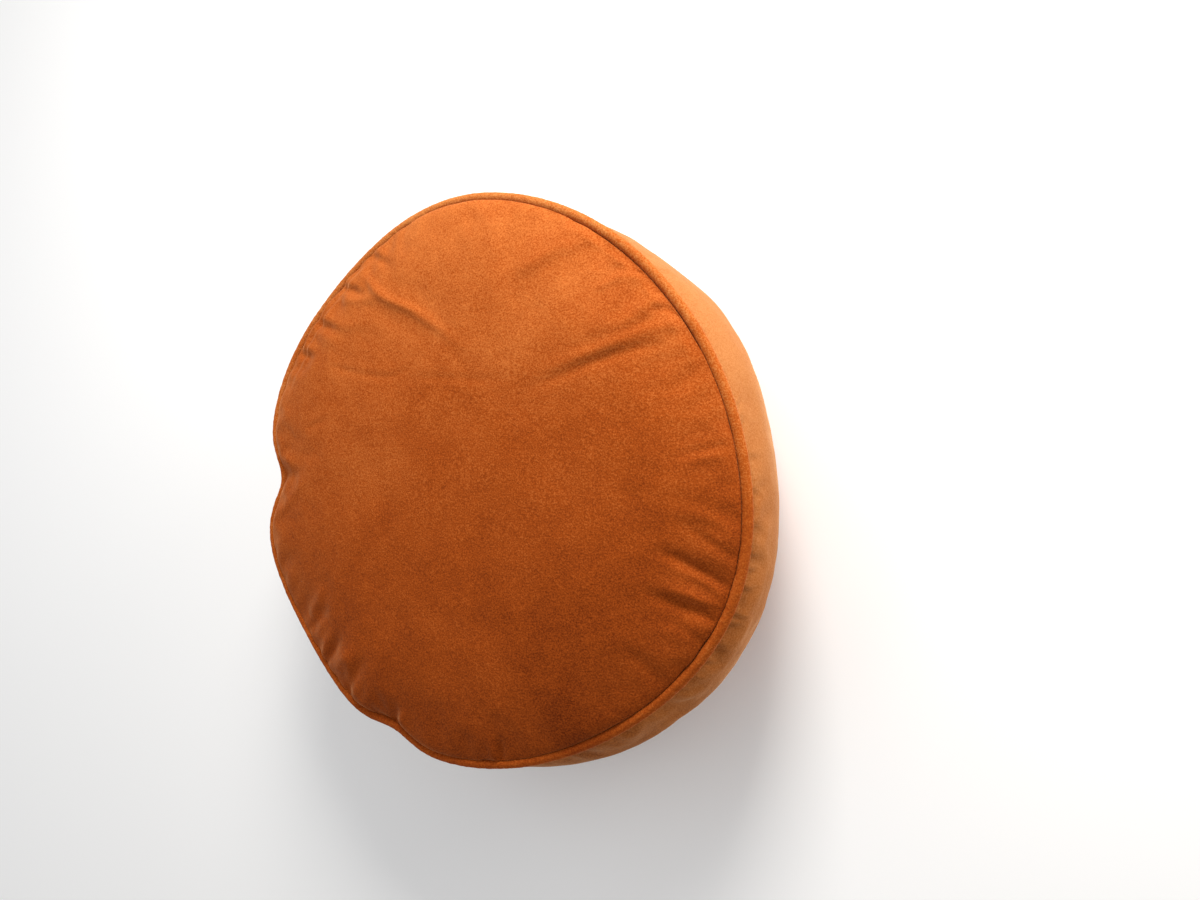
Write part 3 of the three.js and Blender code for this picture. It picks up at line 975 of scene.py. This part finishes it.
def piping_tree():
    """Geometry Nodes tree of a piping: a cord in a bias-cut strip along a closed seam line,
    with the strip's two edges as a flange inside the seam."""
    group = bpy.data.node_groups.new("piping along a seam", "GeometryNodeTree")
    face = group.interface
    face.new_socket("Geometry", in_out="INPUT", socket_type="NodeSocketGeometry")
    for name in ("Cord Radius", "Flange Length", "Flange Thickness", "Wrinkle Height",
                 "Wrinkle Length", "Thickness Change"):
        face.new_socket(name, in_out="INPUT", socket_type="NodeSocketFloat")
    face.new_socket("Cord Sides", in_out="INPUT", socket_type="NodeSocketInt")
    face.new_socket("Seed", in_out="INPUT", socket_type="NodeSocketInt")
    face.new_socket("Velvet", in_out="INPUT", socket_type="NodeSocketMaterial")
    face.new_socket("Geometry", in_out="OUTPUT", socket_type="NodeSocketGeometry")
    tree = Tree(group)
    given = tree.add("NodeGroupInput").outputs

    line = tree.add("GeometryNodeMeshToCurve", {"Mesh": given["Geometry"]}).outputs["Curve"]
    turned = tree.add("GeometryNodeSetCurveNormal", {"Curve": line}, mode="Z_UP")
    length = tree.add("GeometryNodeSplineParameter").outputs["Length"]
    walked = tree.add("GeometryNodeCaptureAttribute", {"Geometry": turned.outputs["Curve"]})
    walked.capture_items.new("FLOAT", "walked")
    tree.tree.links.new(length, walked.inputs["walked"])

    corners = tree.math("ADD", given["Cord Sides"], 3)
    circle = tree.add("GeometryNodeCurvePrimitiveCircle", {"Resolution": corners})
    half_flange = tree.math("MULTIPLY", given["Flange Thickness"], 0.5)
    ratio = tree.math("DIVIDE", half_flange, given["Cord Radius"])
    half_turn = tree.math("SUBTRACT", np.pi, tree.math("ARCSINE", ratio))
    index = tree.add("GeometryNodeInputIndex").outputs["Index"]
    turn = tree.add("ShaderNodeMapRange", {
        "Value": index, "From Min": 0, "From Max": given["Cord Sides"],
        "To Min": tree.math("MULTIPLY", half_turn, -1.0), "To Max": half_turn},
        clamp=False).outputs["Result"]
    around = tree.add("ShaderNodeCombineXYZ", {
        "X": tree.math("MULTIPLY", given["Cord Radius"], tree.math("COSINE", turn)),
        "Y": tree.math("MULTIPLY", given["Cord Radius"], tree.math("SINE", turn))}).outputs[0]
    inner = tree.math("MULTIPLY", tree.math("ADD", given["Cord Radius"], given["Flange Length"]), -1.0)
    past_upper = tree.math("SUBTRACT", index, tree.math("ADD", given["Cord Sides"], 1))
    side = tree.math("SUBTRACT", 1.0, tree.math("MULTIPLY", past_upper, 2.0))
    flange_end = tree.add("ShaderNodeCombineXYZ", {
        "X": inner, "Y": tree.math("MULTIPLY", half_flange, side)}).outputs[0]
    on_cord = tree.add("FunctionNodeCompare", {0: index, 1: tree.math("ADD", given["Cord Sides"], 0.5)},
                       data_type="FLOAT", operation="LESS_THAN").outputs[0]
    corner = tree.add("GeometryNodeSwitch", {"Switch": on_cord, "False": flange_end, "True": around},
                      input_type="VECTOR").outputs[0]
    section = tree.add("GeometryNodeSetPosition", {
        "Geometry": circle.outputs["Curve"], "Position": corner}).outputs["Geometry"]
    angle = tree.add("GeometryNodeCaptureAttribute", {"Geometry": section})
    angle.capture_items.new("FLOAT", "round")
    tree.tree.links.new(turn, angle.inputs["round"])
    cord = tree.add("GeometryNodeCurveToMesh", {
        "Curve": walked.outputs["Geometry"], "Profile Curve": angle.outputs["Geometry"]})

    # Slanting wrinkles of the bias-cut strip, and a slow change of thickness along the cord
    seed = given["Seed"]
    arc = tree.math("MULTIPLY", angle.outputs["round"], given["Cord Radius"])
    slant = tree.math("SUBTRACT", walked.outputs["walked"], arc)
    across = tree.math("DIVIDE", slant, given["Wrinkle Length"])
    along_cord = tree.math("DIVIDE", tree.math("ADD", walked.outputs["walked"], arc),
                           tree.math("MULTIPLY", given["Wrinkle Length"], WRINKLE_STRETCH))
    field = tree.add("ShaderNodeCombineXYZ", {"X": across, "Y": along_cord, "Z": seed}).outputs[0]
    wrinkle = tree.add("ShaderNodeTexNoise", {"Vector": field, "Scale": 1.0, "Detail": 1.0}).outputs[0]
    wrinkle = tree.math("MULTIPLY", tree.math("SUBTRACT", wrinkle, 0.5), given["Wrinkle Height"])
    slow = tree.add("ShaderNodeCombineXYZ", {
        "X": tree.math("MULTIPLY", walked.outputs["walked"], CHANGES_A_METRE), "Y": seed}).outputs[0]
    change = tree.add("ShaderNodeTexNoise", {"Vector": slow, "Scale": 1.0, "Detail": 1.0}).outputs[0]
    change = tree.math("MULTIPLY", tree.math("SUBTRACT", change, 0.5), given["Thickness Change"])
    outwards = tree.add("ShaderNodeVectorMath", {
        0: tree.add("GeometryNodeInputNormal").outputs[0],
        "Scale": tree.math("ADD", wrinkle, change)}, operation="SCALE").outputs[0]
    shaped = tree.add("GeometryNodeSetPosition", {"Geometry": cord.outputs["Mesh"], "Offset": outwards})
    soft = tree.add("GeometryNodeSetShadeSmooth", {"Geometry": shaped.outputs["Geometry"]})
    real = tree.add("GeometryNodeRealizeInstances", {"Geometry": soft.outputs[0]})
    dressed = tree.add("GeometryNodeSetMaterial", {
        "Geometry": real.outputs[0], "Material": given["Velvet"]})
    tree.add("NodeGroupOutput", {"Geometry": dressed.outputs[0]})
    return group


def piping(name, tree, cord_radius, seam_height, seed, velvet, node):
    """Piping of one seam."""
    angle = ring_angles(PIPING_CELLS)
    line = settle(np.full(PIPING_CELLS, cord_radius), np.full(PIPING_CELLS, seam_height), angle)
    edges = [(k, (k + 1) % PIPING_CELLS) for k in range(PIPING_CELLS)]
    mesh = bpy.data.meshes.new(name)
    mesh.from_pydata(line.tolist(), edges, [])
    cord = bpy.data.objects.new(name, mesh)
    bpy.context.scene.collection.objects.link(cord)
    sewn = cord.modifiers.new("sewn", "NODES")
    sewn.node_group = tree
    values = {"Cord Radius": CORD_RADIUS, "Flange Length": FLANGE_LENGTH,
              "Flange Thickness": FLANGE_THICKNESS, "Wrinkle Height": WRINKLE_HEIGHT,
              "Wrinkle Length": WRINKLE_LENGTH, "Thickness Change": THICKNESS_CHANGE,
              "Cord Sides": CORD_SIDES, "Seed": seed, "Velvet": velvet}
    for socket in tree.interface.items_tree:
        if socket.item_type == "SOCKET" and socket.in_out == "INPUT" and socket.name in values:
            sewn[socket.identifier] = values[socket.name]
    bake(cord)
    finish_piece(cord, velvet, node)
    return cord


# The camera's place, the way from what it looks at back to it, and its lens in millimetres
CAMERA_PLACE = (0.4666, -0.0277, 0.8008)
CAMERA_BACK = (0.4649, -0.0653, 0.8829)
CAMERA_LENS = 27
CAMERA_SENSOR = 36
NEAREST_SEEN = 0.02

# The plain studio: soft square lights that face the pouf, a pale floor and a white surround
LIGHTS = [
    dict(name="key", place=(0.35, 1.1, 0.8), size=0.5, power=21, colour=(1, 0.97, 0.92)),
    dict(name="side", place=(1.2, 0.7, 0.3), size=0.6, power=8, colour=(1, 0.98, 0.95)),
    dict(name="fill", place=(-1.2, 0.4, 1.5), size=1.6, power=7, colour=(0.95, 0.97, 1)),
]
FLOOR_REACH = 12
FLOOR_COLOUR = (0.92, 0.92, 0.92, 1)
FLOOR_ROUGHNESS = 0.9
FLOOR_GLOSS = 0.1
SURROUND_LIGHT = 0.55


def camera():
    """The photograph's view of the pouf: from close by, high above its right side."""
    back = Vector(CAMERA_BACK).normalized()
    right = Vector((0, 1, 0)).cross(back).normalized()
    up = back.cross(right)
    data = bpy.data.cameras.new("camera")
    data.sensor_width = CAMERA_SENSOR
    data.lens = CAMERA_LENS
    data.clip_start = NEAREST_SEEN
    eye = bpy.data.objects.new("camera", data)
    turn = Matrix((right, up, back)).transposed().to_4x4()
    eye.matrix_world = Matrix.Translation(CAMERA_PLACE) @ turn
    bpy.context.scene.collection.objects.link(eye)
    bpy.context.scene.camera = eye


def softbox(name, place, target, size, power, colour):
    """Square soft light that faces a target."""
    data = bpy.data.lights.new(name, "AREA")
    data.size = size
    data.energy = power
    data.color = colour
    lamp = bpy.data.objects.new(name, data)
    place, target = Vector(place), Vector(target)
    lamp.location = place
    lamp.rotation_mode = "QUATERNION"
    lamp.rotation_quaternion = (target - place).to_track_quat("-Z", "Y")
    bpy.context.scene.collection.objects.link(lamp)


def studio():
    """Pale floor and plain soft studio light."""
    scene = bpy.context.scene
    mesh = bpy.data.meshes.new("floor")
    corners = [(x * FLOOR_REACH, y * FLOOR_REACH, 0) for x, y in ((-1, -1), (1, -1), (1, 1), (-1, 1))]
    mesh.from_pydata(corners, [], [(0, 1, 2, 3)])
    floor = bpy.data.objects.new("floor", mesh)
    scene.collection.objects.link(floor)
    material = bpy.data.materials.new("pale floor")
    material.use_nodes = True
    tree = Tree(material.node_tree)
    surface = tree.add("ShaderNodeBsdfPrincipled", {
        "Base Color": FLOOR_COLOUR, "Roughness": FLOOR_ROUGHNESS, "Specular IOR Level": FLOOR_GLOSS})
    tree.add("ShaderNodeOutputMaterial", {"Surface": surface.outputs["BSDF"]})
    mesh.materials.append(material)
    world = bpy.data.worlds.new("studio")
    world.use_nodes = True
    tree = Tree(world.node_tree)
    sky = tree.add("ShaderNodeBackground", {"Color": (1, 1, 1, 1), "Strength": SURROUND_LIGHT})
    tree.add("ShaderNodeOutputWorld", {"Surface": sky.outputs["Background"]})
    scene.world = world
    for light in LIGHTS:
        softbox(target=(0, 0, TOP_SEAM_HEIGHT), **light)
    scene.view_settings.view_transform = "Standard"


camera()
# Painted light and shade on the panels: their velvet is painted lighter along Y, towards the key light, and
# darker away from it
PANEL_VELVET = velvet_material("panel velvet", (0.12, 0.017, 0.0015), (0.31, 0.057, 0.006),
                               (0.54, 0.155, 0.034), (1.0, 0.5, 0.22), painted_light_gradient=(-0.1, 0.95))
# The band's velvet is the panel's velvet painted lighter and more tan, a painted grazing sheen, and it is
# painted lighter along X and Y towards the lights and darker away from them
BAND_VELVET_PAINTED_SHEEN = velvet_material("band velvet with painted sheen", (0.15, 0.036, 0.006), (0.35, 0.105, 0.022),
                              (0.46, 0.18, 0.058), (1.0, 0.66, 0.38), painted_light_gradient=(0.9, 1.1))
# Painted light and shade on the piping: its velvet is painted lighter along Y, towards the key light, and
# darker away from it
PIPING_VELVET = velvet_material("piping velvet", (0.20, 0.028, 0.002), (0.37, 0.077, 0.009),
                                (0.58, 0.22, 0.060), (1.0, 0.45, 0.2), painted_light_gradient=(0.0, 0.9))
top_panel(PANEL_VELVET)
side_band(BAND_VELVET_PAINTED_SHEEN)
bottom_panel(PANEL_VELVET)
PIPING = piping_tree()
piping("top_piping", PIPING, TOP_CORD_RADIUS, TOP_SEAM_HEIGHT, 3, PIPING_VELVET, "piping_top")
piping("foot_piping", PIPING, FOOT_CORD_RADIUS, FOOT_SEAM_HEIGHT, 8, PIPING_VELVET, "piping_bottom")
studio()
